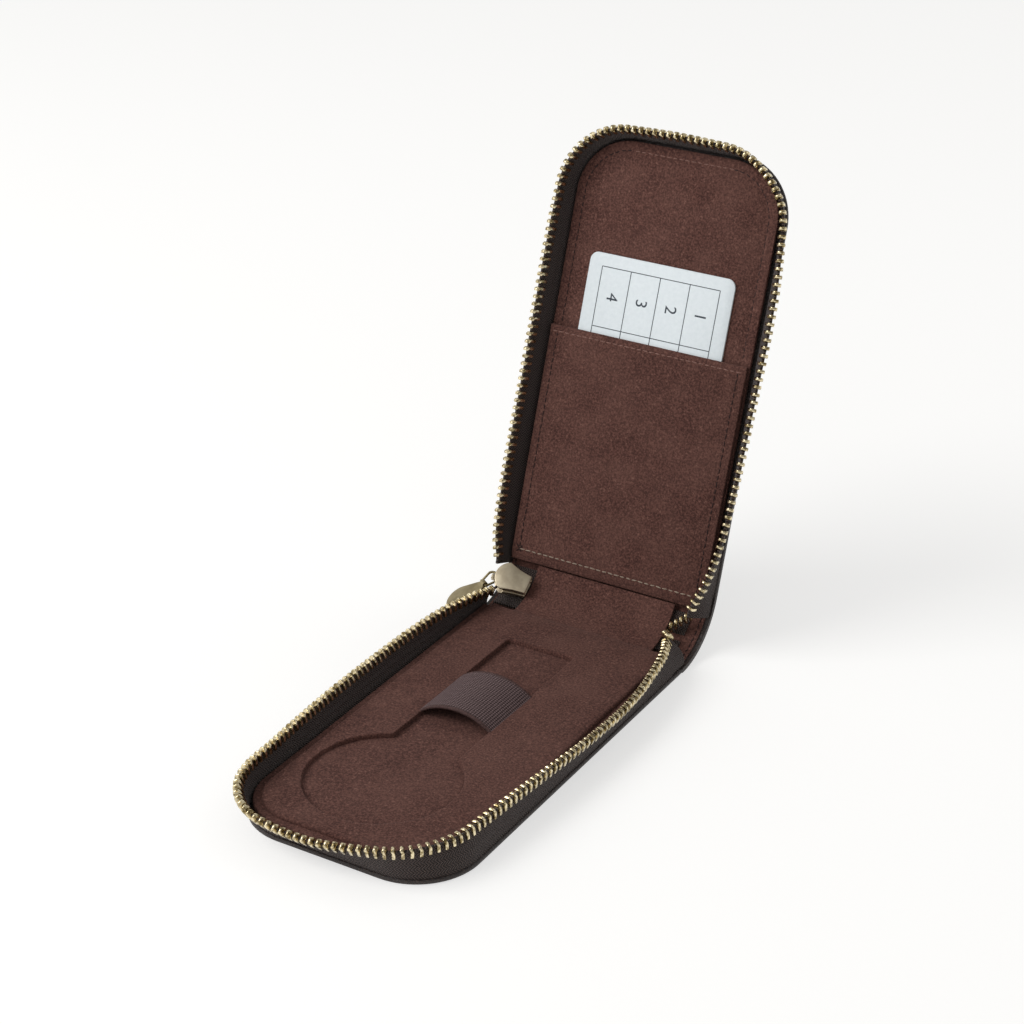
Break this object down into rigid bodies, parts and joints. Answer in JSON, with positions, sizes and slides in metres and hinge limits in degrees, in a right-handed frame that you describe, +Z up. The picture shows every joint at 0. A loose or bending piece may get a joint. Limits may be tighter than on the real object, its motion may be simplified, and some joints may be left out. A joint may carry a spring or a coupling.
{
  "type": "watch travel case",
  "caption": "Zip-round leather travel case for one watch, open, with a recessed insert, strap loop and card pocket.",
  "frame": {"origin": "on the table plane under the base, on the case's centre line across, at the middle of the base panel along it", "axes": "+X across the case to its right, +Y from the front of the base towards the spine and lid, +Z up"},
  "size_m": [0.0968, 0.2256, 0.1606],
  "materials": {
    "leather": "pebbled grain, satin",
    "suede": "suede nap, matte",
    "board": "grey board, matte",
    "foam": "closed foam, matte",
    "tape": "woven zip tape",
    "elastic": "ribbed elastic webbing",
    "brass": "aged, brushed",
    "card": "coated card, satin"
  },
  "bodies": {
    "base": {"base_leather": "leather", "base_board": "board", "base_lining": "suede", "insert_foam": "foam", "insert_cover": "suede", "elastic_band": "elastic", "base_tape": "tape", "base_teeth": "brass", "base_tape_ends": "tape", "base_teeth_ends": "brass"},
    "spine": {"spine_leather": "leather", "spine_facing": "suede", "spine_padding": "foam", "spine_lining": "suede", "tape_end_left": "tape", "tape_end_right": "tape", "chain_end_right": "brass"},
    "lid": {"lid_leather": "leather", "lid_board": "board", "lid_padding": "foam", "lid_lining": "suede", "pocket_panel": "suede", "lid_tape": "tape", "lid_teeth": "brass", "lid_tape_ends": "tape", "lid_teeth_ends": "brass"},
    "slider": {"slider_front_plate": "brass", "slider_back_plate": "brass", "slider_post": "brass", "slider_bridge": "brass", "pull_link": "brass"},
    "pull": {"pull_tab": "brass"},
    "card": {"id_card": "card"}
  },
  "joints": [
    {"name": "spine_fold", "type": "hinge", "parent": "base", "child": "spine", "pos_m": [0, 0.0708, 0.001], "axis": [1, 0, 0], "range_deg": [-27, 60], "deforming": ["spine_leather", "spine_facing", "spine_padding", "spine_lining", "tape_end_left", "tape_end_right", "chain_end_right", "base_tape_ends", "base_teeth_ends"]},
    {"name": "lid_fold", "type": "hinge", "parent": "spine", "child": "lid", "pos_m": [0, 0.09333, 0.01399], "axis": [1, 0, 0], "range_deg": [-40, 49.2], "deforming": ["spine_leather", "spine_facing", "spine_padding", "spine_lining", "tape_end_left", "tape_end_right", "chain_end_right", "lid_tape_ends", "lid_teeth_ends"]},
    {"name": "slider_slide", "type": "slide", "parent": "spine", "child": "slider", "axis": [-0.9418, -0.202, 0.2689], "range_m": [0, 0.004]},
    {"name": "pull_swing", "type": "hinge", "parent": "slider", "child": "pull", "pos_m": [-0.04136, 0.07796, 0.00792], "axis": [-0.8129, 0.5824, 0], "range_deg": [-20, 90]},
    {"name": "card_slide", "type": "slide", "parent": "lid", "child": "card", "axis": [0, 0.3297, 0.9441], "range_m": [0, 0.037]}
  ]
}
